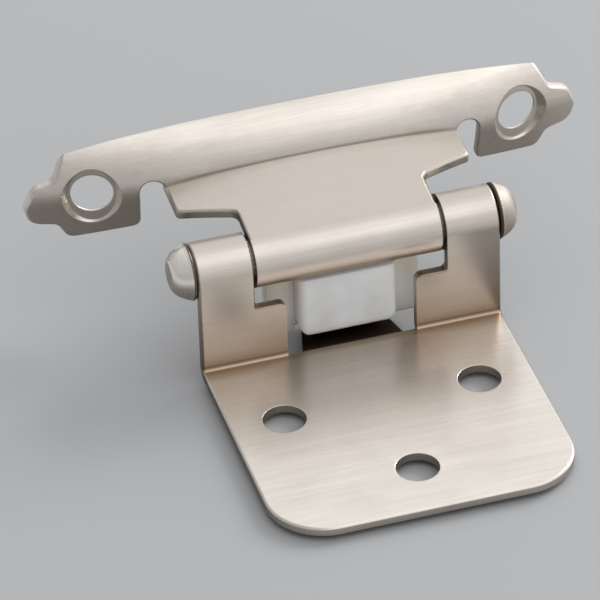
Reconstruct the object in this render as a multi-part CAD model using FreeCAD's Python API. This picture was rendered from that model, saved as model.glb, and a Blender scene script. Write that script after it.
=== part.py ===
import FreeCAD, Part
import math
import os

from FreeCAD import Placement, Rotation, Vector

os.makedirs("parts", exist_ok=True)

X = Vector(1, 0, 0)
Y = Vector(0, 1, 0)
Z = Vector(0, 0, 1)

# Face-mount self-closing cabinet hinge, shown part open with the door wing
# lying flat. Origin: on the fold line of the door wing, mid width, at the
# underside of its plate. +X runs along the pin, +Z up, -Y to the plate front.

# Sheet metal
SHEET = 1.1
BEND_IN = 0.35
EDGE_BREAK = 0.22
REACH = 60.0
TOUCH = 0.01

# Door wing: plate
PLATE_HALF = 19.05
PLATE_DEPTH = 33.7
PLATE_CORNER = 7.3
PLATE_HOLE_R = 2.65
REAR_HOLE_X = 12.3
REAR_HOLE_Y = -12.0
FRONT_HOLE_Y = -25.9

# Door wing: legs and tabs
LEG_INNER = 12.2
TAB_INNER = 8.2
TAB_TOP = SHEET + 7.9
TAB_ROUND = 1.0
NOTCH_ROUND = 0.7

# Knuckles and pin
KNUCKLE_R = 3.5
BORE_R = KNUCKLE_R - SHEET
AXIS_Y = KNUCKLE_R
AXIS_Z = SHEET + 12.76
KNUCKLE_GAP = 0.42
SEAM_GAP_DEG = 5.0
PIN_R = BORE_R - 0.05
SPIGOT_R = 1.5
SPIGOT_LENGTH = 1.6
TIP_GAP = 0.15
TIP_FLANGE_R = 3.55
TIP_FLANGE = 0.55
TIP_SHOULDER_R = 3.3
TIP_END_R = 2.1
TIP_LENGTH = 2.65
TIP_BREAK = 0.1
TIP_ROUND = 0.25

# Door wing: spring seat behind the fold
SEAT_HALF = 6.4
SEAT_TAPER = 0.26
SEAT_WALL_Y = 7.0
SEAT_WALL_TOP = SHEET + 5.5

# Follower
BLOCK_HALF = 6.2
BLOCK_FRONT = 1.4
BLOCK_BACK = SEAT_WALL_Y - 0.3
BLOCK_BOTTOM = SHEET + 1.2
BLOCK_CHAMFER = 1.0
BLOCK_ROUND = 1.4
WING_HALF = 9.8
WING_FRONT = 3.95
WING_THICK = 1.5
WING_BOTTOM = SHEET + 0.15
WING_ROUND = 2.6
POCKET_R = 2.05
POCKET_X = 3.0
POCKET_ROOF = SHEET + 7.0

# Springs
WIRE_R = 0.3
COIL_R = 1.5
ACTIVE_TURNS = 3.5
COIL_GAP = 0.03
STEPS_PER_TURN = 12
WIRE_SIDES = 6
SPRING_SEAT_GAP = 0.02

# Cam on the middle knuckle: radius falls evenly over the swing of the wing
CAM_FALL = 0.25
CAM_FIRST_DEG = 240.0
CAM_LAST_DEG = 350.0
CAM_GAP = 0.03

# Frame wing: neck and skirt
NECK_HALF = LEG_INNER - KNUCKLE_GAP
NECK_RISE_DEG = 11.0
SKIRT_HALF = 18.65
SKIRT_DROOP = 1.8
SKIRT_BACK = 15.65
SKIRT_CORNER_Y = 10.7
NECK_CORNER_Y = 8.2
SKIRT_ROUND = 0.8
NECK_ROUND = 1.2

# Frame wing: crowned and bowed body
BODY_FRONT_Y = 14.3
CROWN_R = 7.0
CROWN_Z = SHEET + 16.2
CROWN_END_DEG = 84.0
PAD_LEAN_DEG = 12.0
BOW_R = 125.0
BOW_HALF_DEG = 18.0
REAR_LOW_Y = 21.55
REAR_LOW_Z = SHEET + 16.8
REAR_SLOPE = 0.274
SCREW_X = 27.5
SCREW_Z = SHEET + 16.2
SCREW_YAW_DEG = 14.0
SCREW_HOLE_R = 2.65

# Frame wing: oval dish pressed round each screw hole
DISH_DROP = 0.25
DISH_DEPTH = 1.0
DISH_HALF_X = 3.0
DISH_HALF_Z = 3.75
DISH_FLARE = 0.75
DISH_LIP = 0.3
BOSS_FRONT = 0.9
BOSS_BACK = 1.8
BOSS_SLOPE = 0.5
SKIN = 0.2


def rounded_wire(corners, place):
    """Closed wire through (u, v, radius) corners, each corner rounded."""
    edges = []
    starts = []
    count = len(corners)
    for i, (u, v, radius) in enumerate(corners):
        here = Vector(u, v, 0)
        before = Vector(*corners[i - 1][:2], 0) - here
        after = Vector(*corners[(i + 1) % count][:2], 0) - here
        before.normalize()
        after.normalize()
        if radius <= 0:
            starts.append((here, here, None))
            continue
        half = before.getAngle(after) / 2
        run = radius / math.tan(half)
        bisector = before + after
        bisector.normalize()
        centre = here + bisector * (radius / math.sin(half))
        starts.append((here + before * run, here + after * run, centre - bisector * radius))
    for i, (arc_in, arc_out, middle) in enumerate(starts):
        if middle is not None:
            edges.append(Part.Arc(place(arc_in), place(middle), place(arc_out)).toShape())
        following = starts[(i + 1) % count][0]
        if (following - arc_out).Length > 1e-6:
            edges.append(Part.makeLine(place(arc_out), place(following)))
    return Part.Wire(edges)


def prism(wire, direction):
    return Part.Face(wire).extrude(direction)


def plan(corners, bottom, top):
    """Upright solid over a rounded outline given in X and Y."""
    return prism(rounded_wire(corners, lambda p: Vector(p.x, p.y, bottom)), Z * (top - bottom))


def front(corners, near, far):
    """Solid reaching back along Y behind a rounded outline given in X and Z."""
    return prism(rounded_wire(corners, lambda p: Vector(p.x, near, p.y)), Y * (far - near))


def side(corners, half):
    """Solid across X whose rounded profile is given in Y and Z."""
    return prism(rounded_wire(corners, lambda p: Vector(-half, p.x, p.y)), X * (2 * half))


def box(x, y, z):
    """Block between pairs of limits."""
    return Part.makeBox(x[1] - x[0], y[1] - y[0], z[1] - z[0], Vector(x[0], y[0], z[0]))


def both_sides(shape):
    return [shape, shape.mirror(Vector(0, 0, 0), X)]


def joined(shapes):
    return shapes[0].fuse(shapes[1:]).removeSplitter()


def edges_where(shape, chosen):
    """Edges of which every point passes a test."""
    return [edge for edge in shape.Edges if all(chosen(p) for p in edge.discretize(5))]


def rear_limit(z):
    """How far back the body reaches at a height: its crest is cut on a slant."""
    return REAR_LOW_Y - REAR_SLOPE * (z - REAR_LOW_Z)


def on_crest(p):
    return p.z > REAR_LOW_Z and p.y > rear_limit(p.z) - TOUCH


def body_rim(shape):
    """Edges between the curved faces that look forward and the body's cut sides, but not its crest."""
    shown = []
    for face in shape.Faces:
        u0, u1, v0, v1 = face.ParameterRange
        flat = isinstance(face.Surface, Part.Plane)
        if not flat and face.normalAt((u0 + u1) / 2, (v0 + v1) / 2).y < -0.3:
            shown.append(face)
    edges = [edge for face in shown for edge in face.Edges if not on_crest(edge.CenterOfMass)]
    return [edge for edge in edges if sum(edge.isSame(other) for other in edges) == 1]


def polar(radius, degrees):
    """Point in the cross-section at an angle round the pin, from +Y to +Z."""
    angle = math.radians(degrees)
    return Vector(0, AXIS_Y + radius * math.cos(angle), AXIS_Z + radius * math.sin(angle))


def round_bar(radius, x0, x1):
    return Part.makeCylinder(radius, x1 - x0, Vector(x0, AXIS_Y, AXIS_Z), X)


def curl_arc(radius, first, last):
    middle = (first + last) / 2
    return Part.Arc(polar(radius, first), polar(radius, middle), polar(radius, last)).toShape()


def leg_strip():
    """Plate and legs folded from one strip, before the edges are cut."""
    outer = BEND_IN + SHEET
    profile = [
        (-PLATE_DEPTH, 0, 0),
        (SHEET, 0, outer),
        (SHEET, AXIS_Z, 0),
        (0, AXIS_Z, 0),
        (0, SHEET, BEND_IN),
        (-PLATE_DEPTH, SHEET, 0),
    ]
    return side(profile, PLATE_HALF)


def door_knuckle():
    """Side knuckle rolled back over the pin from the top of a leg."""
    seam = math.degrees(math.acos(BORE_R / KNUCKLE_R))
    last = -180 + seam + SEAM_GAP_DEG
    edges = [
        curl_arc(KNUCKLE_R, 180, last),
        Part.makeLine(polar(KNUCKLE_R, last), polar(BORE_R, last)),
        curl_arc(BORE_R, last, 180),
        Part.makeLine(polar(BORE_R, 180), polar(KNUCKLE_R, 180)),
    ]
    curl = prism(Part.Wire(edges), X * (PLATE_HALF - LEG_INNER))
    return curl.translated(X * LEG_INNER)


def spring_seat():
    """Tapered tongue behind the fold, its end turned up behind the follower."""
    outer = BEND_IN + SHEET
    wall_back = SEAT_WALL_Y + SHEET
    profile = [
        (-2, 0, 0),
        (wall_back, 0, outer),
        (wall_back, SEAT_WALL_TOP, 0),
        (SEAT_WALL_Y, SEAT_WALL_TOP, 0),
        (SEAT_WALL_Y, SHEET, BEND_IN),
        (-2, SHEET, 0),
    ]
    end_half = SEAT_HALF - SEAT_TAPER * SEAT_WALL_Y
    outline = [
        (-SEAT_HALF, -2, 0),
        (SEAT_HALF, -2, 0),
        (SEAT_HALF, 0, 0),
        (end_half, SEAT_WALL_Y, 0),
        (end_half, wall_back + 1, 0),
        (-end_half, wall_back + 1, 0),
        (-end_half, SEAT_WALL_Y, 0),
        (-SEAT_HALF, 0, 0),
    ]
    return side(profile, SEAT_HALF).common(plan(outline, -1, SEAT_WALL_TOP + 1))


def on_door_wing_rim(p):
    """Whether a point lies on the show side's outer edge, from the plate's front to the knuckles."""
    on_side = abs(abs(p.x) - PLATE_HALF) < TOUCH
    on_plate = p.y < 0 and abs(p.z - SHEET) < TOUCH
    in_bend = math.hypot(p.y + BEND_IN, p.z - SHEET - BEND_IN) < BEND_IN + TOUCH
    on_leg = abs(p.y) < TOUCH and p.z < AXIS_Z + TOUCH
    on_curl = abs(math.hypot(p.y - AXIS_Y, p.z - AXIS_Z) - KNUCKLE_R) < TOUCH
    at_front = on_plate and p.y < PLATE_CORNER - PLATE_DEPTH + TOUCH
    return at_front or on_side and (on_plate or in_bend or on_leg or on_curl)


def door_wing():
    leg = [
        (TAB_INNER, -1, 0),
        (TAB_INNER, TAB_TOP, TAB_ROUND),
        (LEG_INNER, TAB_TOP, NOTCH_ROUND),
        (LEG_INNER, AXIS_Z + 1, 0),
        (PLATE_HALF + 1, AXIS_Z + 1, 0),
        (PLATE_HALF + 1, -1, 0),
    ]
    outline = [
        (-PLATE_HALF, 1, 0),
        (-PLATE_HALF, -PLATE_DEPTH, PLATE_CORNER),
        (PLATE_HALF, -PLATE_DEPTH, PLATE_CORNER),
        (PLATE_HALF, 1, 0),
    ]
    strip = leg_strip()
    plate = strip.common(plan(outline, -1, REACH)).common(box((-REACH, REACH), (-REACH, 0), (-1, SHEET)))
    legs = [strip.common(shape) for shape in both_sides(front(leg, -BEND_IN, SHEET + 1))]
    knuckles = both_sides(door_knuckle())
    wing = joined([plate] + legs + knuckles + [spring_seat()])
    wing = wing.makeChamfer(EDGE_BREAK, edges_where(wing, on_door_wing_rim))
    for x, y in ((-REAR_HOLE_X, REAR_HOLE_Y), (REAR_HOLE_X, REAR_HOLE_Y), (0, FRONT_HOLE_Y)):
        wing = wing.cut(Part.makeCylinder(PLATE_HOLE_R, 4, Vector(x, y, -1), Z))
    return wing


def hinge_pin():
    shoulder = PLATE_HALF + TIP_GAP
    end = shoulder + SPIGOT_LENGTH
    return joined([round_bar(PIN_R, -shoulder, shoulder), round_bar(SPIGOT_R, -end, end)])


def pin_tip():
    """Button pressed over the spigot at one end of the pin."""
    start = PLATE_HALF + TIP_GAP
    flange_end = start + TIP_FLANGE
    end = start + TIP_LENGTH
    profile = [
        (start, 0, 0),
        (start, TIP_FLANGE_R - TIP_BREAK, 0),
        (start + TIP_BREAK, TIP_FLANGE_R, 0),
        (flange_end - TIP_BREAK, TIP_FLANGE_R, 0),
        (flange_end, TIP_FLANGE_R - TIP_BREAK, 0),
        (flange_end, TIP_SHOULDER_R, 0),
        (end - TIP_ROUND, TIP_END_R, 0),
        (end, TIP_END_R - TIP_ROUND, 0),
        (end, 0, 0),
    ]
    wire = rounded_wire(profile, lambda p: Vector(p.x, AXIS_Y + p.y, AXIS_Z))
    tip = Part.Face(wire).revolve(Vector(0, AXIS_Y, AXIS_Z), X, 360)
    return tip.cut(round_bar(SPIGOT_R, 0, start + SPIGOT_LENGTH))


def cam_support(degrees):
    """Distance from the pin axis to the cam's tangent plane facing an angle."""
    lead = math.asin(CAM_FALL / KNUCKLE_R)
    return KNUCKLE_R * math.cos(lead) - CAM_FALL * math.radians(degrees - CAM_FIRST_DEG)


def cam_point(degrees):
    """Where that tangent plane touches the cam."""
    return polar(cam_support(degrees), degrees) - (polar(CAM_FALL, degrees + 90) - polar(0, 0))


def cam_knuckle():
    """Middle knuckle, rolled forward and under from the neck, with the cam on its outside."""
    first = 90 + NECK_RISE_DEG
    seam = math.degrees(math.acos(BORE_R / KNUCKLE_R))
    last = first + 360 - seam - SEAM_GAP_DEG
    lead = math.degrees(math.asin(CAM_FALL / KNUCKLE_R))
    steps = 8
    span = CAM_LAST_DEG - CAM_FIRST_DEG
    flank = [cam_point(CAM_FIRST_DEG + span * i / steps) for i in range(steps + 1)]
    cam = Part.BSplineCurve()
    cam.interpolate(flank)
    end = flank[-1] - polar(0, 0)
    end_r = end.Length
    end_deg = math.degrees(math.atan2(end.z, end.y)) % 360
    edges = [
        curl_arc(KNUCKLE_R, first, CAM_FIRST_DEG - lead),
        cam.toShape(),
        curl_arc(end_r, end_deg, last),
        Part.makeLine(polar(end_r, last), polar(BORE_R, last)),
        curl_arc(BORE_R, last, first),
        Part.makeLine(polar(BORE_R, first), polar(KNUCKLE_R, first)),
    ]
    curl = prism(Part.Wire(edges), X * (2 * NECK_HALF))
    return curl.translated(X * -NECK_HALF)


def neck_height(x, y):
    """Top of the neck and skirt: it climbs to the rear and droops to the sides."""
    tangent = polar(KNUCKLE_R, 90 + NECK_RISE_DEG)
    run = y - tangent.y
    droop = SKIRT_DROOP * (x / SKIRT_HALF) ** 2 * run / (SKIRT_BACK - tangent.y)
    return tangent.z + run * math.tan(math.radians(NECK_RISE_DEG)) - droop


def neck_face(drop):
    tangent = polar(KNUCKLE_R, 90 + NECK_RISE_DEG)
    reach = SKIRT_BACK + 2 * SHEET
    across = [SKIRT_HALF * i / 3 for i in range(-3, 4)]
    along = [tangent.y + (reach - tangent.y) * i / 3 for i in range(4)]
    surface = Part.BSplineSurface()
    surface.interpolate([[Vector(x, y, neck_height(x, y) - drop) for y in along] for x in across])
    return surface.toShape()


def body_section(front_shift, back_shift):
    """Closed section between two curves parallel to the front of the body."""
    centre = Vector(0, BODY_FRONT_Y + CROWN_R, CROWN_Z)
    lean = math.radians(PAD_LEAN_DEG)
    end = math.radians(CROWN_END_DEG)
    low = Vector(0, math.sin(lean), -math.cos(lean)) * 12

    def curve(shift):
        radius = CROWN_R - shift
        at = [centre + Vector(0, -math.cos(a), math.sin(a)) * radius for a in (-lean, end / 2, end)]
        return at[0] + low, at[0], at[1], at[2]

    foot, start, middle, top = curve(front_shift)
    back_foot, back_start, back_middle, back_top = curve(back_shift)
    edges = [
        Part.makeLine(foot, start),
        Part.Arc(start, middle, top).toShape(),
        Part.makeLine(top, back_top),
        Part.Arc(back_top, back_middle, back_start).toShape(),
        Part.makeLine(back_start, back_foot),
        Part.makeLine(back_foot, foot),
    ]
    return Part.Face(Part.Wire(edges))


def bowed(section):
    """Section swept along the bow of the body."""
    axis = Vector(0, BODY_FRONT_Y + BOW_R, 0)
    turned = section.rotated(axis, Z, -BOW_HALF_DEG)
    return turned.revolve(axis, Z, 2 * BOW_HALF_DEG)


def body_outline():
    """Front view of the body: arched top, finials, screw pads and relief notches."""
    right = [
        (28.6, 24.5, 0),
        (31.75, 18.35, 1.4),
        (34.35, 17.35, 1.9),
        (35.5, 14.6, 2.0),
        (34.85, 12.0, 1.8),
        (31.5, 11.75, 1.0),
        (30.2, 9.45, 1.2),
        (21.55, 10.8, 1.1),
        (21.75, 17.6, 1.5),
        (SKIRT_HALF, 17.6, 1.3),
        (SKIRT_HALF, 14.0, 0),
    ]
    left = [(-x, z, r) for x, z, r in reversed(right)]
    rear = [
        (0, 0, 0),
        (REAR_LOW_Y, 0, 0),
        (REAR_LOW_Y, REAR_LOW_Z, 0),
        (rear_limit(REACH), REACH, 0),
        (0, REACH, 0),
    ]
    return front([(x, z + SHEET, r) for x, z, r in right + left], 0, REACH).common(side(rear, REACH))


def skirt_outline():
    right = [
        (NECK_HALF, 0, 0),
        (NECK_HALF, NECK_CORNER_Y, NECK_ROUND),
        (SKIRT_HALF, SKIRT_CORNER_Y, SKIRT_ROUND),
        (SKIRT_HALF, 25, 0),
    ]
    left = [(-x, y, r) for x, y, r in reversed(right)]
    return plan(right + left, -5, REACH)


def on_skirt_rim(p):
    """Whether a point lies on the upper edge of the neck's and skirt's cut sides."""
    on_top = abs(p.z - neck_height(p.x, p.y)) < TOUCH
    return on_top and abs(p.x) > NECK_HALF - TOUCH and p.y > AXIS_Y


def frame_wing():
    neck_drop = SHEET / math.cos(math.radians(NECK_RISE_DEG))
    body = bowed(body_section(0, SHEET)).common(body_outline())
    body = body.cut(neck_face(neck_drop).extrude(Z * -REACH / 4))
    body = body.makeChamfer(EDGE_BREAK, body_rim(body))
    neck = neck_face(0).extrude(Z * -neck_drop).common(skirt_outline())
    neck = neck.makeChamfer(EDGE_BREAK, edges_where(neck, on_skirt_rim))
    neck = neck.cut(bowed(body_section(SHEET, CROWN_R - 0.5)))
    boss, screw_hole = screw_seat()
    wing = joined([body, neck, cam_knuckle()] + both_sides(boss))
    for shape in both_sides(screw_hole):
        wing = wing.cut(shape)
    return wing


def dish_oval(growth, depth):
    """Outline of the dish in its own frame: X along the pad, Y up, Z into the pad."""
    centre = Vector(0, -DISH_DROP, depth)
    top = centre + Y * (DISH_HALF_Z + growth)
    edge = centre + X * (DISH_HALF_X + growth)
    return Part.Wire([Part.Ellipse(top, edge, centre).toShape()])


def screw_seat():
    """Boss behind the dish, and the dish with its hole, square to the swept-back pad."""
    yaw = math.radians(SCREW_YAW_DEG)
    inward = Vector(-math.sin(yaw), math.cos(yaw), 0)
    surface_y = BODY_FRONT_Y + BOW_R - math.sqrt(BOW_R ** 2 - SCREW_X ** 2)
    frame = Placement(Vector(SCREW_X, surface_y, SCREW_Z), Rotation(Z.cross(inward), Z, inward, "ZXY"))
    flare = 2 * DISH_FLARE
    dish = Part.makeLoft([dish_oval(flare, -DISH_DEPTH), dish_oval(0, DISH_DEPTH)], True, True)
    lip = Z * (DISH_DEPTH + DISH_LIP)
    hole = Part.makeCylinder(SCREW_HOLE_R, 4 * BOSS_BACK, Vector(0, 0, 0), Z)
    relief = Part.makeCone(SCREW_HOLE_R, SCREW_HOLE_R + BOSS_BACK, BOSS_BACK, lip, Z)
    front_oval = dish_oval(DISH_FLARE + BOSS_SLOPE / 2, BOSS_FRONT)
    boss = Part.makeLoft([front_oval, dish_oval(BOSS_SLOPE, BOSS_BACK)], True, True)
    boss.Placement = frame
    opening = dish.fuse([hole, relief])
    opening.Placement = frame
    return boss.common(bowed(body_section(SKIN, CROWN_R / 2))), opening


def follower_top():
    return AXIS_Z - cam_support(270) - CAM_GAP


def cam_follower():
    """Nylon block pushed up against the cam, with side wings behind the tabs."""
    top = follower_top()
    block_plan = [
        (-BLOCK_HALF, BLOCK_BACK, 0),
        (-BLOCK_HALF, BLOCK_FRONT, BLOCK_CHAMFER),
        (BLOCK_HALF, BLOCK_FRONT, BLOCK_CHAMFER),
        (BLOCK_HALF, BLOCK_BACK, 0),
    ]
    wing_shape = [
        (-WING_HALF, WING_BOTTOM, 0.5),
        (WING_HALF, WING_BOTTOM, 0.5),
        (WING_HALF, top, WING_ROUND),
        (-WING_HALF, top, WING_ROUND),
    ]
    block_front = [
        (-BLOCK_HALF, BLOCK_BOTTOM, BLOCK_ROUND),
        (BLOCK_HALF, BLOCK_BOTTOM, BLOCK_ROUND),
        (BLOCK_HALF, top, 0),
        (-BLOCK_HALF, top, 0),
    ]
    block = plan(block_plan, BLOCK_BOTTOM, top).common(front(block_front, 0, REACH))
    wings = front(wing_shape, WING_FRONT, WING_FRONT + WING_THICK)
    wings = wings.cut(box((-BLOCK_HALF, BLOCK_HALF), (0, REACH), (0, BLOCK_BOTTOM)))
    follower = joined([block, wings])
    for x in (-POCKET_X, POCKET_X):
        follower = follower.cut(Part.makeCylinder(POCKET_R, POCKET_ROOF, Vector(x, spring_y(), 0), Z))
    return follower


def spring_y():
    return (BLOCK_FRONT + BLOCK_BACK) / 2


def spring(x):
    """Compression spring of six-sided wire with a closed coil at each end."""
    low = SHEET + SPRING_SEAT_GAP + WIRE_R
    high = POCKET_ROOF - SPRING_SEAT_GAP - WIRE_R
    closed = 2 * WIRE_R + COIL_GAP
    pitch = (high - low - 2 * closed) / ACTIVE_TURNS
    sections = []
    for i in range(round((ACTIVE_TURNS + 2) * STEPS_PER_TURN) + 1):
        turn = i / STEPS_PER_TURN
        rise = closed * min(turn, 1) + pitch * min(max(turn - 1, 0), ACTIVE_TURNS)
        rise += closed * max(turn - 1 - ACTIVE_TURNS, 0)
        outward = Vector(math.cos(2 * math.pi * turn), math.sin(2 * math.pi * turn), 0)
        ring = []
        for k in range(WIRE_SIDES + 1):
            angle = 2 * math.pi * (k + 0.5) / WIRE_SIDES
            ring.append(outward * (COIL_R + WIRE_R * math.cos(angle)) + Z * (rise + WIRE_R * math.sin(angle)))
        sections.append(Part.makePolygon(ring))
    return Part.makeLoft(sections, True, True).translated(Vector(x, spring_y(), low))


PARTS = {
    "door_wing": door_wing(),
    "frame_wing": frame_wing(),
    "hinge_pin": hinge_pin(),
    "right_tip": pin_tip(),
    "left_tip": pin_tip().mirror(Vector(0, 0, 0), X),
    "cam_follower": cam_follower(),
    "left_spring": spring(-POCKET_X),
    "right_spring": spring(POCKET_X),
}

for node, shape in PARTS.items():
    solid = shape.Solids[0]
    print(node, len(shape.Solids), shape.isValid(), round(solid.Volume, 2))
    solid.exportStep("parts/" + node + ".step")
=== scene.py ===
import logging
import math
from dataclasses import dataclass
from enum import Enum

import bmesh
import bpy
from mathutils import Matrix, Vector


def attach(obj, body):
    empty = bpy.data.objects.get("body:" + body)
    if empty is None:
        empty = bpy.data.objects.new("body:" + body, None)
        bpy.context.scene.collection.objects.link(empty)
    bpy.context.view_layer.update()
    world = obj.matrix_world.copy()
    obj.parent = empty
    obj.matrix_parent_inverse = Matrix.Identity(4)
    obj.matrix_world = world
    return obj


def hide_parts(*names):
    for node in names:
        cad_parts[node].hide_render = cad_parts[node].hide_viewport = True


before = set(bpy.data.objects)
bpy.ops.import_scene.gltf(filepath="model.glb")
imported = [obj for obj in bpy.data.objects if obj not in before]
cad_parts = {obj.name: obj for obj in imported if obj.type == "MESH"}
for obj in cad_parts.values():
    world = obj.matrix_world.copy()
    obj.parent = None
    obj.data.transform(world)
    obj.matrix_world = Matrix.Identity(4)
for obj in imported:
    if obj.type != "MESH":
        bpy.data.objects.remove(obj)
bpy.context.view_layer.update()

log = logging.getLogger("cabinet_hinge")
logging.basicConfig(level=logging.INFO, format="%(name)s: %(message)s")

MM = 0.001
GRAIN_DEPTH = 0.02 * MM
BEVEL_SAMPLES = 4
MIX_FACTOR, MIX_FIRST, MIX_SECOND, MIX_RESULT = 0, 6, 7, 2


class Body(Enum):
    """The rigid bodies that new pieces ride on."""

    DOOR = "door_side"
    FOLLOWER = "follower"


class Slot(Enum):
    """The material slots of new pieces."""

    NICKEL = "satin_nickel"
    WIRE = "steel_wire"


class Measure(Enum):
    """What a fade is measured along, in the object's own coordinates."""

    ACROSS = "distance from the middle plane"
    DEPTH = "place along Y"
    HEIGHT = "place along Z"
    FROM_GAP = "distance from a gap beside a knuckle"
    FROM_CREASE = "distance from the crease between neck and crown"
    FROM_FOLD = "distance from the fold at the legs' foot"


class Sockets:
    """Short access to a material's or group's nodes and links."""

    def __init__(self, tree: bpy.types.NodeTree) -> None:
        """Keep the tree.

        Args:
            tree: The node tree that nodes are added to.
        """
        self.tree = tree

    def add(self, kind: str, **values: object) -> bpy.types.Node:
        """Add a node and set its input sockets.

        Args:
            kind: The node's type name.
            **values: Input socket names, spaces as underscores, and their values.

        Returns:
            The new node.
        """
        node = self.tree.nodes.new(kind)
        for name, value in values.items():
            node.inputs[name.replace("_", " ")].default_value = value
        return node

    def math(self, operation: str, *inputs: object) -> bpy.types.NodeSocket:
        """Add a maths node.

        Args:
            operation: The node's operation.
            *inputs: Sockets to link or numbers to set, in order.

        Returns:
            The node's output socket.
        """
        node = self.tree.nodes.new("ShaderNodeMath")
        node.operation = operation
        for i, value in enumerate(inputs):
            if isinstance(value, bpy.types.NodeSocket):
                self.tree.links.new(value, node.inputs[i])
            else:
                node.inputs[i].default_value = value
        return node.outputs[0]

    def ramp(self, value: object, from_range: tuple, to_range: tuple) -> bpy.types.NodeSocket:
        """Add a map range node.

        Args:
            value: The socket to map.
            from_range: Lowest and highest value in.
            to_range: Lowest and highest value out.

        Returns:
            The node's output socket.
        """
        node = self.tree.nodes.new("ShaderNodeMapRange")
        self.tree.links.new(value, node.inputs["Value"])
        node.inputs["From Min"].default_value = from_range[0]
        node.inputs["From Max"].default_value = from_range[1]
        node.inputs["To Min"].default_value = to_range[0]
        node.inputs["To Max"].default_value = to_range[1]
        return node.outputs["Result"]

    def blend(
        self, factor: object, first: object, second: object, mode: str = "MIX"
    ) -> bpy.types.NodeSocket:
        """Add a colour mix node.

        Args:
            factor: Socket or number that sets how much of the second colour shows.
            first: Socket or colour.
            second: Socket or colour.
            mode: The blend type.

        Returns:
            The node's colour output socket.
        """
        node = self.tree.nodes.new("ShaderNodeMix")
        node.data_type = "RGBA"
        node.blend_type = mode
        for place, value in ((MIX_FACTOR, factor), (MIX_FIRST, first), (MIX_SECOND, second)):
            if isinstance(value, bpy.types.NodeSocket):
                self.tree.links.new(value, node.inputs[place])
            else:
                node.inputs[place].default_value = value
        return node.outputs[MIX_RESULT]

    def vector_math(self, operation: str, vector: object, constant: object) -> bpy.types.Node:
        """Add a vector maths node.

        Args:
            operation: The node's operation.
            vector: The socket for its first input.
            constant: The vector, or the socket, for its second input.

        Returns:
            The node.
        """
        node = self.tree.nodes.new("ShaderNodeVectorMath")
        node.operation = operation
        self.tree.links.new(vector, node.inputs[0])
        if isinstance(constant, bpy.types.NodeSocket):
            self.tree.links.new(constant, node.inputs[1])
        else:
            node.inputs[1].default_value = constant
        return node

    def rounded_bump(
        self, height: object, strength: float, edge_radius: float
    ) -> bpy.types.NodeSocket:
        """Add a bump over softened edges.

        Args:
            height: The socket that gives the relief.
            strength: How strongly the relief shows.
            edge_radius: Radius of the softened edges.

        Returns:
            The normal's socket.
        """
        soft_edge = self.add("ShaderNodeBevel", Radius=edge_radius)
        soft_edge.samples = BEVEL_SAMPLES
        bump = self.add("ShaderNodeBump", Strength=strength, Distance=GRAIN_DEPTH)
        self.link(height, bump.inputs["Height"])
        self.link(soft_edge.outputs[0], bump.inputs["Normal"])
        return bump.outputs[0]

    def link(self, source: bpy.types.NodeSocket, target: bpy.types.NodeSocket) -> None:
        """Join two sockets."""
        self.tree.links.new(source, target)


def new_material(name: str) -> tuple[bpy.types.Material, Sockets, bpy.types.Node]:
    """Start a material on a Principled shader.

    Args:
        name: The material's name.

    Returns:
        The material, its helper and its shader node.
    """
    material = bpy.data.materials.new(name)
    material.use_nodes = True
    shader = material.node_tree.nodes["Principled BSDF"]
    return material, Sockets(material.node_tree), shader


def new_group(
    name: str, inputs: dict[str, object], outputs: list[str]
) -> tuple[bpy.types.NodeTree, Sockets, bpy.types.Node, bpy.types.Node]:
    """Start a shader node group.

    Args:
        name: The group's name.
        inputs: Input names with their default numbers, or None for a vector.
        outputs: Names of the number outputs.

    Returns:
        The group, its helper, its input node and its output node.
    """
    group = bpy.data.node_groups.new(name, "ShaderNodeTree")
    for label, value in inputs.items():
        kind = "NodeSocketVector" if value is None else "NodeSocketFloat"
        socket = group.interface.new_socket(label, in_out="INPUT", socket_type=kind)
        if value is not None:
            socket.default_value = value
    for label in outputs:
        group.interface.new_socket(label, in_out="OUTPUT", socket_type="NodeSocketFloat")
    helper = Sockets(group)
    return group, helper, group.nodes.new("NodeGroupInput"), group.nodes.new("NodeGroupOutput")


def brushed_grain() -> bpy.types.NodeTree:
    """Build the brushed grain group: long fine scratches along X and soft clouds.

    Its lengths are in millimetres and its vector in metres.

    Returns:
        The node group, with Fine, Coarse and Cloud outputs from 0 to 1.
    """
    per_metre = 1.0 / MM
    coarse_share = 0.22
    inputs = {"Vector": None, "Streak Length": 6.0, "Streak Width": 0.12, "Cloud Size": 9.0}
    group, add, source, sink = new_group("brushed_grain", inputs, ["Fine", "Coarse", "Cloud"])
    along = add.math("DIVIDE", per_metre, source.outputs["Streak Length"])
    across = add.math("DIVIDE", per_metre, source.outputs["Streak Width"])
    for label, share, detail in (("Fine", 1.0, 2.0), ("Coarse", coarse_share, 3.0)):
        scale = add.add("ShaderNodeCombineXYZ")
        add.link(add.math("MULTIPLY", along, share), scale.inputs[0])
        for axis in (1, 2):
            add.link(add.math("MULTIPLY", across, share), scale.inputs[axis])
        stretch = add.vector_math("MULTIPLY", source.outputs["Vector"], scale.outputs[0])
        noise = add.add("ShaderNodeTexNoise", Scale=1.0, Detail=detail, Roughness=0.6)
        add.link(stretch.outputs[0], noise.inputs["Vector"])
        add.link(noise.outputs[0], sink.inputs[label])
    cloud = add.add("ShaderNodeTexNoise", Detail=3.0, Roughness=0.5)
    add.link(source.outputs["Vector"], cloud.inputs["Vector"])
    add.link(add.math("DIVIDE", per_metre, source.outputs["Cloud Size"]), cloud.inputs["Scale"])
    add.link(cloud.outputs[0], sink.inputs["Cloud"])
    return group


@dataclass(frozen=True)
class Fade:
    """A change of a mask along one measure, between two places in millimetres."""

    measure: Measure
    start: float
    end: float
    before: float
    after: float


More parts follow.
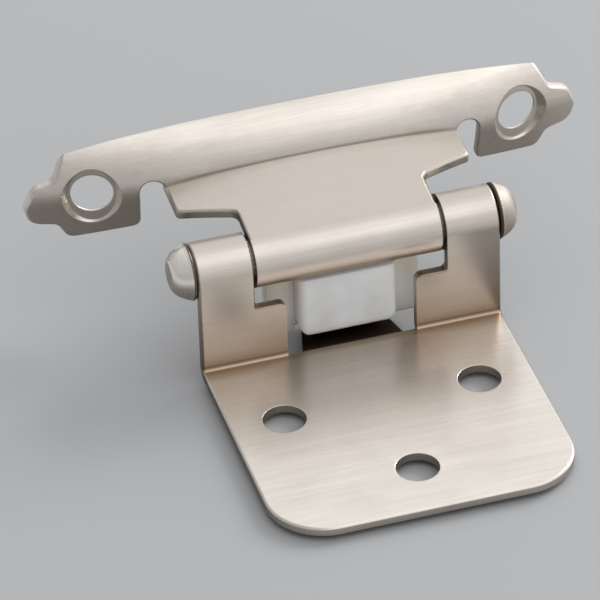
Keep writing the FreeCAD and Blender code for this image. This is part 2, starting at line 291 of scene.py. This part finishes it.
@dataclass(frozen=True)
class Patch:
    """A soft-edged area of the metal: where all its fades overlap."""

    fades: tuple[Fade, ...]

    def mask(self, add: Sockets, measures: dict[Measure, object]) -> bpy.types.NodeSocket:
        """Multiply the patch's fades.

        Args:
            add: The material's helper.
            measures: The socket of each measure.

        Returns:
            The mask's socket, from 0 to 1.
        """
        masks = [
            add.ramp(measures[f.measure], (f.start * MM, f.end * MM), (f.before, f.after))
            for f in self.fades
        ]
        whole = masks[0]
        for mask in masks[1:]:
            whole = add.math("MULTIPLY", whole, mask)
        return whole


# Painted shade: the neck is darkened under the crown.
NECK = Patch((
    Fade(Measure.ACROSS, 18.6, 19.4, 1.0, 0.0),
    Fade(Measure.DEPTH, 0.9, 2.1, 0.0, 1.0),
    Fade(Measure.DEPTH, 14.2, 15.6, 1.0, 0.0),
    Fade(Measure.HEIGHT, 12.0, 13.0, 0.0, 0.72),
))
# Painted shade: the lower side of the middle knuckle is darkened.
CHIN = Patch((
    Fade(Measure.HEIGHT, 11.4, 13.4, 0.9, 0.0),
    Fade(Measure.HEIGHT, 8.6, 9.0, 0.0, 1.0),
    Fade(Measure.ACROSS, 11.8, 12.1, 1.0, 0.0),
))
# Painted shade: dark lines in the gaps beside the knuckles and the tips.
KNUCKLE_GAP = Patch((
    Fade(Measure.FROM_GAP, 0.25, 0.33, 0.95, 0.0),
    Fade(Measure.DEPTH, 7.5, 8.5, 1.0, 0.0),
    Fade(Measure.HEIGHT, 8.8, 9.2, 0.0, 1.0),
))
# Painted shade: the skirt's lower edge is darkened over the side knuckles.
SKIRT_RIM = Patch((
    Fade(Measure.DEPTH, 7.1, 7.2, 0.0, 1.0),
    Fade(Measure.DEPTH, 8.24, 8.34, 1.0, 0.0),
    Fade(Measure.ACROSS, 12.7, 12.8, 0.0, 0.55),
    Fade(Measure.HEIGHT, 12.0, 13.0, 0.0, 1.0),
))
# Painted shade: the legs and the metal behind the fold grow darker towards the bottom.
LEG_FOOT = Patch((
    Fade(Measure.HEIGHT, 1.3, 12.0, 0.95, 0.1),
    Fade(Measure.DEPTH, -2.6, -0.6, 0.0, 1.0),
))
# Painted reflection: the dark legs mirrored in the plate just before the fold.
PLATE_MIDDLE = Patch((
    Fade(Measure.ACROSS, 8.0, 13.0, 0.6, 0.0),
    Fade(Measure.HEIGHT, 1.3, 1.6, 1.0, 0.0),
    Fade(Measure.DEPTH, -8.0, -2.0, 0.0, 1.0),
))
# Painted shade: a thin dark line along the crease between neck and crown.
CROWN_CREASE = Patch((
    Fade(Measure.FROM_CREASE, 0.02, 0.12, 0.62, 0.0),
    Fade(Measure.HEIGHT, 17.6, 17.8, 0.0, 1.0),
    Fade(Measure.HEIGHT, 20.2, 20.4, 1.0, 0.0),
    Fade(Measure.ACROSS, 18.5, 18.8, 1.0, 0.0),
))
# Painted shade: a thin dark line in the fold at the legs' foot.
LEG_FOLD = Patch((
    Fade(Measure.FROM_FOLD, 0.03, 0.14, 0.55, 0.0),
    Fade(Measure.DEPTH, -0.9, -0.7, 0.0, 1.0),
))
# Painted shade: the spring pocket under the follower is darkened.
SPRING_POCKET = Patch((
    Fade(Measure.ACROSS, 6.5, 6.9, 1.0, 0.0),
    Fade(Measure.DEPTH, -0.1, 0.1, 0.0, 1.0),
    Fade(Measure.HEIGHT, 5.0, 6.0, 1.0, 0.0),
    Fade(Measure.DEPTH, 6.95, 7.1, 1.0, 0.0),
))


@dataclass(frozen=True)
class SatinNickel:
    """Brushed nickel plate: its colour, gloss, grain and darker patches of painted shade and
    painted reflection.

    Streak and cloud sizes are in millimetres.
    """

    name: str = "satin_nickel"
    light: tuple = (0.725, 0.681, 0.634, 1.0)
    dark: tuple = (0.645, 0.597, 0.547, 1.0)
    # Tint of the painted shade on the neck.
    dull_painted_shade: tuple = (0.455, 0.418, 0.382, 1.0)
    # Tint of the painted shade on the knuckle's lower side, the legs' foot and the plate before
    # the fold.
    brown_painted_shade: tuple = (0.41, 0.315, 0.235, 1.0)
    # Tint of the painted shade in the gaps, along the skirt's edge and in the spring pocket.
    black_painted_shade: tuple = (0.05, 0.03, 0.02, 1.0)
    # Tint of the painted shade in the crease and the fold.
    crease_painted_shade: tuple = (0.16, 0.115, 0.08, 1.0)
    crease_y: float = 14.70 * MM
    crease_bow: float = 2.8
    fold_z: float = 1.62 * MM
    gap_x: float = 11.990 * MM
    roughness: float = 0.30
    roughness_spread: float = 0.05
    roughness_tones: tuple = (0.3, 0.7)
    anisotropy: float = 0.45
    streak_length: float = 8.0
    streak_width: float = 0.15
    cloud_size: float = 7.0
    fine_share: float = 0.55
    streak_share: float = 0.7
    tones: tuple = (0.41, 0.59)
    bump: float = 0.25
    edge_radius: float = 0.18 * MM

    def build(self, grain: bpy.types.NodeTree) -> bpy.types.Material:
        """Build the material.

        Args:
            grain: The brushed grain node group.

        Returns:
            The finished material.
        """
        material, add, shader = new_material(self.name)
        shader.inputs["Metallic"].default_value = 1.0
        shader.inputs["Anisotropic"].default_value = self.anisotropy
        place = add.add("ShaderNodeTexCoord").outputs["Object"]
        streaks, tone = self.brushing(add, place, grain)
        bare = add.blend(add.ramp(tone, self.tones, (0.0, 1.0)), self.dark, self.light)
        add.link(self.patched(add, bare, self.measures(add, place)), shader.inputs["Base Color"])
        gloss = (self.roughness + self.roughness_spread, self.roughness - self.roughness_spread)
        add.link(add.ramp(tone, self.roughness_tones, gloss), shader.inputs["Roughness"])
        add.link(add.rounded_bump(streaks, self.bump, self.edge_radius), shader.inputs["Normal"])
        tangent = add.add("ShaderNodeTangent")
        tangent.direction_type = "RADIAL"
        tangent.axis = "X"
        add.link(tangent.outputs[0], shader.inputs["Tangent"])
        return material

    def brushing(
        self, add: Sockets, place: bpy.types.NodeSocket, grain: bpy.types.NodeTree
    ) -> tuple[bpy.types.NodeSocket, bpy.types.NodeSocket]:
        """Mix the grain's outputs.

        Args:
            add: The material's helper.
            place: The socket of Object coordinates.
            grain: The brushed grain node group.

        Returns:
            The streaks' socket, and that of the tone of streaks and clouds together.
        """
        brushed = add.tree.nodes.new("ShaderNodeGroup")
        brushed.node_tree = grain
        brushed.inputs["Streak Length"].default_value = self.streak_length
        brushed.inputs["Streak Width"].default_value = self.streak_width
        brushed.inputs["Cloud Size"].default_value = self.cloud_size
        add.link(place, brushed.inputs["Vector"])
        fine = add.math("MULTIPLY", brushed.outputs["Fine"], self.fine_share)
        coarse = add.math("MULTIPLY", brushed.outputs["Coarse"], 1.0 - self.fine_share)
        streaks = add.math("ADD", fine, coarse)
        clouds = add.math("MULTIPLY", brushed.outputs["Cloud"], 1.0 - self.streak_share)
        tone = add.math("ADD", add.math("MULTIPLY", streaks, self.streak_share), clouds)
        return streaks, tone

    def measures(self, add: Sockets, place: bpy.types.NodeSocket) -> dict[Measure, object]:
        """Work out what the patches' fades are measured along.

        Args:
            add: The material's helper.
            place: The socket of Object coordinates.

        Returns:
            The socket of each measure, in metres.
        """
        spot = add.tree.nodes.new("ShaderNodeSeparateXYZ")
        add.link(place, spot.inputs[0])
        x, y, z = spot.outputs
        across = add.math("ABSOLUTE", x)
        bow = add.math("MULTIPLY", add.math("MULTIPLY", x, x), self.crease_bow)
        behind_crease = add.math("SUBTRACT", add.math("SUBTRACT", y, bow), self.crease_y)
        return {
            Measure.ACROSS: across,
            Measure.DEPTH: y,
            Measure.HEIGHT: z,
            Measure.FROM_GAP: add.math("ABSOLUTE", add.math("SUBTRACT", across, self.gap_x)),
            Measure.FROM_CREASE: add.math("ABSOLUTE", behind_crease),
            Measure.FROM_FOLD: add.math("ABSOLUTE", add.math("SUBTRACT", z, self.fold_z)),
        }

    def patched(
        self, add: Sockets, bare: bpy.types.NodeSocket, measures: dict[Measure, object]
    ) -> bpy.types.NodeSocket:
        """Lay the patches of painted shade and painted reflection over the bare metal's colour,
        one after another.

        Args:
            add: The material's helper.
            bare: The socket of the bare metal's colour.
            measures: The socket of each measure.

        Returns:
            The finished colour's socket.
        """
        colour = bare
        # Each patch is painted shade or painted reflection laid into the colour.
        for patches, tint in (
            ((NECK,), self.dull_painted_shade),
            ((CHIN,), self.brown_painted_shade),
            ((KNUCKLE_GAP, SKIRT_RIM), self.black_painted_shade),
            ((LEG_FOOT, PLATE_MIDDLE), self.brown_painted_shade),
            ((CROWN_CREASE, LEG_FOLD), self.crease_painted_shade),
            ((SPRING_POCKET,), self.black_painted_shade),
        ):
            masks = [patch.mask(add, measures) for patch in patches]
            mask = add.math("MAXIMUM", *masks) if len(masks) > 1 else masks[0]
            colour = add.blend(mask, colour, tint)
        return colour


@dataclass(frozen=True)
class MouldedNylon:
    """Milky moulded nylon that lets some light through, beige towards the top of its flanks."""

    name: str = "nylon"
    light: tuple = (0.86, 0.875, 0.89, 1.0)
    dark: tuple = (0.78, 0.80, 0.82, 1.0)
    flank_beige: tuple = (0.80, 0.72, 0.62, 1.0)
    roughness: float = 0.38
    scatter: float = 0.6
    scatter_depth: float = 2.0 * MM
    cloud_scale: float = 260.0
    cloud_tones: tuple = (0.35, 0.65)
    skin_scale: float = 3500.0
    bump: float = 0.15
    edge_radius: float = 0.35 * MM
    flank: Patch = Patch((
        Fade(Measure.ACROSS, 5.2, 6.4, 0.0, 0.75),
        Fade(Measure.HEIGHT, 6.0, 8.5, 0.15, 1.0),
    ))

    def build(self) -> bpy.types.Material:
        """Build the material.

        Returns:
            The finished material.
        """
        material, add, shader = new_material(self.name)
        shader.inputs["Roughness"].default_value = self.roughness
        shader.inputs["Subsurface Weight"].default_value = self.scatter
        shader.inputs["Subsurface Scale"].default_value = self.scatter_depth
        shader.inputs["Subsurface Radius"].default_value = (1.0, 1.0, 1.0)
        place = add.add("ShaderNodeTexCoord").outputs["Object"]
        cloud = add.add("ShaderNodeTexNoise", Scale=self.cloud_scale, Detail=2.0)
        add.link(place, cloud.inputs["Vector"])
        tone = add.ramp(cloud.outputs[0], self.cloud_tones, (0.0, 1.0))
        spot = add.tree.nodes.new("ShaderNodeSeparateXYZ")
        add.link(place, spot.inputs[0])
        x, _, z = spot.outputs
        measures = {Measure.ACROSS: add.math("ABSOLUTE", x), Measure.HEIGHT: z}
        white = add.blend(tone, self.dark, self.light)
        # The flanks turn beige towards their top.
        colour = add.blend(self.flank.mask(add, measures), white, self.flank_beige)
        add.link(colour, shader.inputs["Base Color"])
        skin = add.add("ShaderNodeTexNoise", Scale=self.skin_scale, Detail=1.0)
        add.link(place, skin.inputs["Vector"])
        normal = add.rounded_bump(skin.outputs[0], self.bump, self.edge_radius)
        add.link(normal, shader.inputs["Normal"])
        return material


@dataclass(frozen=True)
class DrawnSteel:
    """Bright drawn steel of the pin and the springs."""

    name: str = "steel_wire"
    colour: tuple = (0.74, 0.73, 0.71, 1.0)
    shade: float = 0.75
    speck_scale: float = 900.0
    speck_tones: tuple = (0.3, 0.7)
    roughness: tuple = (0.34, 0.22)

    def build(self) -> bpy.types.Material:
        """Build the material.

        Returns:
            The finished material.
        """
        material, add, shader = new_material(self.name)
        shader.inputs["Metallic"].default_value = 1.0
        speck = add.add("ShaderNodeTexNoise", Scale=self.speck_scale, Detail=2.0)
        add.link(add.add("ShaderNodeTexCoord").outputs["Object"], speck.inputs["Vector"])
        tone = add.ramp(speck.outputs[0], self.speck_tones, (0.0, 1.0))
        dark = tuple(self.shade * c for c in self.colour[:3]) + (1.0,)
        add.link(add.blend(tone, dark, self.colour), shader.inputs["Base Color"])
        add.link(add.ramp(tone, (0.0, 1.0), self.roughness), shader.inputs["Roughness"])
        return material


class Finishes:
    """The finished materials, built once."""

    def __init__(self) -> None:
        """Build every material and the grain group that they share."""
        grain = brushed_grain()
        self.nickel = SatinNickel().build(grain)
        tip = {"gap_x": 19.250 * MM, "bump": 0.15, "edge_radius": 0.12 * MM}
        # The left tip's lighter copy of the nickel is a painted highlight.
        self.painted_highlight_tip = SatinNickel(
            "nickel_painted_highlight",
            light=(0.95, 0.915, 0.87, 1.0),
            dark=(0.88, 0.84, 0.785, 1.0),
            roughness=0.24,
            **tip,
        ).build(grain)
        # The right tip's darker copy of the nickel is painted shade.
        self.painted_shade_tip = SatinNickel(
            "nickel_painted_shade",
            light=(0.44, 0.408, 0.375, 1.0),
            dark=(0.38, 0.35, 0.32, 1.0),
            roughness=0.60,
            **tip,
        ).build(grain)
        self.nylon = MouldedNylon().build()
        self.wire = DrawnSteel().build()


def dress(node: str, material: bpy.types.Material) -> bpy.types.Object:
    """Give a CAD piece its finish.

    Args:
        node: The CAD node's name.
        material: The material for all of it.

    Returns:
        The dressed object.
    """
    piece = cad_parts[node]
    piece.data.materials.clear()
    piece.data.materials.append(material)
    log.info("%s dressed in %s", node, material.name)
    return piece


def placed(
    shape: bmesh.types.BMesh, name: str, material: bpy.types.Material
) -> bpy.types.Object:
    """Put a finished shape into the scene.

    Args:
        shape: The shape, freed here.
        name: The object's name.
        material: The material for all of it.

    Returns:
        The shape's object.
    """
    mesh = bpy.data.meshes.new(name)
    shape.to_mesh(mesh)
    shape.free()
    mesh.materials.append(material)
    piece = bpy.data.objects.new(name, mesh)
    bpy.context.scene.collection.objects.link(piece)
    log.info("%s made with %d faces", name, len(mesh.polygons))
    return piece


@dataclass
class PinTip:
    """Button tip turned round the pin's axis, bored for the pin's end.

    The profile's rows are the distance from the tip's base and the radius, in
    millimetres, from the bottom of the bore round to the end face.
    """

    side: float
    base: float = 19.2 * MM
    axis: tuple = (0.0, 3.5 * MM, 13.86 * MM)
    sides: int = 96
    sharp_angle: float = math.radians(40.0)
    bore: tuple = ((1.65, 1.55), (0.0, 1.55))
    rim: tuple = (
        (0.0, 3.42), (0.05, 3.50), (0.13, 3.54), (0.28, 3.55), (0.37, 3.52), (0.43, 3.46),
    )
    dome: tuple = (
        (0.75, 3.34), (1.10, 3.18), (1.45, 3.00), (1.75, 2.81), (2.00, 2.61), (2.22, 2.38),
        (2.40, 2.13), (2.52, 1.92), (2.60, 1.74), (2.63, 1.55),
    )

    def build(self, name: str, material: bpy.types.Material) -> bpy.types.Object:
        """Turn the tip ring by ring.

        Args:
            name: The object's name.
            material: The tip's material.

        Returns:
            The tip's object.
        """
        shape = bmesh.new()
        rows = [(far * MM, radius * MM) for far, radius in self.bore + self.rim + self.dome]
        far, radius = rows[0]
        turn = Matrix.Translation((far, 0.0, 0.0)) @ Matrix.Rotation(math.pi / 2, 4, "Y")
        bmesh.ops.create_circle(
            shape, cap_ends=False, segments=self.sides, radius=radius, matrix=turn
        )
        ring = shape.edges[:]
        for next_far, next_radius in rows[1:]:
            grown = bmesh.ops.extrude_edge_only(shape, edges=ring)["geom"]
            moved = [g for g in grown if isinstance(g, bmesh.types.BMVert)]
            ring = [g for g in grown if isinstance(g, bmesh.types.BMEdge) and g.is_boundary]
            share = next_radius / radius
            bmesh.ops.scale(shape, verts=moved, vec=(1.0, share, share))
            bmesh.ops.translate(shape, verts=moved, vec=(next_far - far, 0.0, 0.0))
            far, radius = next_far, next_radius
        bmesh.ops.holes_fill(shape, edges=[e for e in shape.edges if e.is_boundary], sides=0)
        bmesh.ops.translate(shape, verts=shape.verts[:], vec=(self.base, 0.0, 0.0))
        bmesh.ops.scale(shape, verts=shape.verts[:], vec=(self.side, 1.0, 1.0))
        bmesh.ops.translate(shape, verts=shape.verts[:], vec=self.axis)
        bmesh.ops.recalc_face_normals(shape, faces=shape.faces[:])
        for face in shape.faces:
            face.smooth = True
        for edge in shape.edges:
            edge.smooth = edge.calc_face_angle() < self.sharp_angle
        return placed(shape, name, material)


@dataclass
class DoorSide:
    """Door wing, hinge pin and the two tips on its ends."""

    finishes: Finishes

    def build(self) -> None:
        """Dress the door side's pieces and put rounder tips in place of the plain ones."""
        dress("door_wing", self.finishes.nickel)
        dress("hinge_pin", self.finishes.wire)
        # The tips' finishes differ in colour as painted light: a painted highlight on the left,
        # painted shade on the right.
        for node, side, finish in (
            ("left_tip", -1.0, self.finishes.painted_highlight_tip),
            ("right_tip", 1.0, self.finishes.painted_shade_tip),
        ):
            dress(node, finish)
            tip = PinTip(side).build(node + "_button", finish)
            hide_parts(node)
            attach(tip, Body.DOOR.value)


@dataclass
class FrameSide:
    """Frame wing with its crowned body, neck and cam knuckle."""

    finishes: Finishes

    def build(self) -> None:
        """Dress the frame wing."""
        dress("frame_wing", self.finishes.nickel)


@dataclass
class CoilSpring:
    """Compression spring of round wire, closed at both ends; lengths in metres."""

    place: tuple
    height: float = 6.22 * MM
    wire: float = 0.3 * MM
    radius: float = 1.5 * MM
    closed: float = 0.63 * MM
    active: float = 3.5
    steps: int = 24
    sides: int = 12

    def build(self, name: str, material: bpy.types.Material) -> bpy.types.Object:
        """Spin the wire's section up its helix.

        Args:
            name: The object's name.
            material: The wire's material.

        Returns:
            The spring's object.
        """
        shape = bmesh.new()
        turn = Matrix.Translation((self.radius, 0.0, 0.0)) @ Matrix.Rotation(math.pi / 2, 4, "X")
        bmesh.ops.create_circle(
            shape, cap_ends=False, segments=self.sides, radius=self.wire, matrix=turn
        )
        last = shape.verts[:] + shape.edges[:]
        pitch = (self.height - 2 * self.closed) / self.active
        for turns, rise in ((1.0, self.closed), (self.active, pitch), (1.0, self.closed)):
            spun = bmesh.ops.spin(
                shape,
                geom=last,
                cent=(0.0, 0.0, 0.0),
                axis=(0.0, 0.0, 1.0),
                dvec=(0.0, 0.0, rise / self.steps),
                angle=2 * math.pi * turns,
                steps=round(turns * self.steps),
                use_merge=False,
                use_duplicate=False,
            )
            last = spun["geom_last"]
        bmesh.ops.holes_fill(shape, edges=[e for e in shape.edges if e.is_boundary], sides=0)
        bmesh.ops.recalc_face_normals(shape, faces=shape.faces[:])
        bmesh.ops.translate(shape, verts=shape.verts[:], vec=self.place)
        for face in shape.faces:
            face.smooth = len(face.verts) == 4
        return placed(shape, name, material)


@dataclass
class Closer:
    """Nylon follower and the springs under it."""

    finishes: Finishes
    spring_x: float = 3.0 * MM
    spring_y: float = 4.05 * MM
    spring_low: float = 1.56 * MM

    def build(self) -> None:
        """Dress the follower and put round-wire springs in place of the faceted ones."""
        dress("cam_follower", self.finishes.nylon)
        for node, x in (("left_spring", -self.spring_x), ("right_spring", self.spring_x)):
            dress(node, self.finishes.wire)
            spring = CoilSpring((x, self.spring_y, self.spring_low))
            coil = spring.build(node + "_coil", self.finishes.wire)
            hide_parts(node)
            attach(coil, Body.FOLLOWER.value)


@dataclass
class Studio:
    """Pale table, soft light and the camera, in metres and degrees."""

    floor_size: float = 8.0
    floor_height: float = -0.72 * MM
    floor_seen: tuple = (0.350, 0.356, 0.366, 1.0)
    # Colour of the painted shadow in the mirrored table near the object.
    floor_near_painted_shadow: tuple = (0.165, 0.157, 0.15, 1.0)
    floor_far: tuple = (0.50, 0.50, 0.50, 1.0)
    floor_shade: tuple = (38.0 * MM, 64.0 * MM)
    floor_middle: tuple = (0.0, 8.0 * MM, 0.0)
    floor_roughness: float = 0.6
    floor_shine: float = 0.2
    sky_lean: tuple = (0.36, 0.42, 0.83)
    sky_stops: tuple = (
        (0.0, 0.30), (0.33, 0.74), (0.50, 0.84), (0.67, 0.90),
        (0.80, 1.04), (0.88, 1.16), (0.95, 1.20),
    )
    sky_left_span: tuple = (-0.45, 0.08)
    sky_left: tuple = (0.62, 1.0)
    box_aim: tuple = (0.34, -0.34, 0.88)
    box_edge: tuple = (0.78, 0.95)
    box_light: float = 0.35
    key_place: tuple = (0.85, 0.35, 0.55)
    key_size: float = 0.5
    key_power: float = 8.0
    camera_target: tuple = (-7.2736 * MM, -2.6795 * MM, 11.0780 * MM)
    camera_distance: float = 644.261 * MM
    camera_azimuth: float = -15.6516
    camera_elevation: float = 36.8417
    camera_roll: float = -1.9170
    lens: float = 321.38
    film_width: float = 36.0
    sight: tuple = (0.05, 20.0)

    def build(self) -> None:
        """Set up the floor, lights, world and camera."""
        self.floor()
        self.light()
        self.camera()
        bpy.context.scene.view_settings.view_transform = "Standard"

    def floor(self) -> None:
        """Lay the table under the object, pale to the camera and darker where metal mirrors it,
        with painted shadow in the mirrored table near the object.
        """
        mesh = bpy.data.meshes.new("table")
        shape = bmesh.new()
        bmesh.ops.create_grid(shape, x_segments=1, y_segments=1, size=self.floor_size / 2)
        shape.to_mesh(mesh)
        shape.free()
        table = bpy.data.objects.new("table", mesh)
        table.location.z = self.floor_height
        bpy.context.scene.collection.objects.link(table)
        material, add, shader = new_material("table")
        place = add.add("ShaderNodeTexCoord").outputs["Object"]
        # Painted shadow: the table seen in reflections grows darker towards the object.
        reach = add.vector_math("DISTANCE", place, self.floor_middle)
        away = add.ramp(reach.outputs["Value"], self.floor_shade, (0.0, 1.0))
        mirrored = add.blend(away, self.floor_near_painted_shadow, self.floor_far)
        path = add.add("ShaderNodeLightPath")
        seen = add.blend(path.outputs["Is Camera Ray"], mirrored, self.floor_seen)
        add.link(seen, shader.inputs["Base Color"])
        shader.inputs["Roughness"].default_value = self.floor_roughness
        shader.inputs["Specular IOR Level"].default_value = self.floor_shine
        mesh.materials.append(material)

    def light(self) -> None:
        """Light the object from the shaded surroundings and one soft key lamp."""
        self.surroundings()
        self.key_lamp()

    def surroundings(self) -> None:
        """Shade the world: brightest overhead and behind, a soft box in front, darker left."""
        world = bpy.data.worlds.new("studio")
        bpy.context.scene.world = world
        world.use_nodes = True
        tree = world.node_tree
        add = Sockets(tree)
        ray = add.add("ShaderNodeTexCoord").outputs["Generated"]
        lean = add.vector_math("DOT_PRODUCT", ray, Vector(self.sky_lean).normalized())
        height = tree.nodes.new("ShaderNodeValToRGB")
        while len(height.color_ramp.elements) < len(self.sky_stops):
            height.color_ramp.elements.new(0.5)
        for element, (position, value) in zip(height.color_ramp.elements, self.sky_stops):
            element.position = position
            element.color = (value, value, value, 1.0)
        add.link(add.ramp(lean.outputs["Value"], (-1.0, 1.0), (0.0, 1.0)), height.inputs[0])
        toward = add.vector_math("DOT_PRODUCT", ray, Vector(self.box_aim).normalized())
        box = add.ramp(toward.outputs["Value"], self.box_edge, (0.0, self.box_light))
        across = tree.nodes.new("ShaderNodeSeparateXYZ")
        add.link(ray, across.inputs[0])
        left = add.ramp(across.outputs["X"], self.sky_left_span, self.sky_left)
        lit = add.blend(1.0, height.outputs[0], box, "ADD")
        background = tree.nodes["Background"]
        add.link(add.blend(1.0, lit, left, "MULTIPLY"), background.inputs["Color"])
        background.inputs["Strength"].default_value = 1.0

    def key_lamp(self) -> None:
        """Set a soft lamp at the right, behind and above the object."""
        lamp = bpy.data.lights.new("key", "AREA")
        lamp.size = self.key_size
        lamp.energy = self.key_power
        rig = bpy.data.objects.new("key", lamp)
        bpy.context.scene.collection.objects.link(rig)
        rig.location = self.key_place
        rig.rotation_euler = Vector(self.key_place).to_track_quat("Z", "Y").to_euler()

    def camera(self) -> None:
        """Place the camera at the photograph's angle."""
        azimuth = math.radians(self.camera_azimuth)
        elevation = math.radians(self.camera_elevation)
        back = Vector((
            math.sin(azimuth) * math.cos(elevation),
            -math.cos(azimuth) * math.cos(elevation),
            math.sin(elevation),
        ))
        data = bpy.data.cameras.new("camera")
        data.lens = self.lens
        data.sensor_width = self.film_width
        data.clip_start, data.clip_end = self.sight
        camera = bpy.data.objects.new("camera", data)
        bpy.context.scene.collection.objects.link(camera)
        turn = back.to_track_quat("Z", "Y").to_matrix().to_4x4()
        roll = Matrix.Rotation(math.radians(self.camera_roll), 4, "Z")
        place = Matrix.Translation(Vector(self.camera_target) + back * self.camera_distance)
        camera.matrix_world = place @ turn @ roll
        bpy.context.scene.camera = camera


def main() -> None:
    """Build the hinge's looks around the frame, then the studio."""
    finishes = Finishes()
    for part in (DoorSide(finishes), FrameSide(finishes), Closer(finishes)):
        part.build()
    Studio().build()


if __name__ == "__main__":
    main()
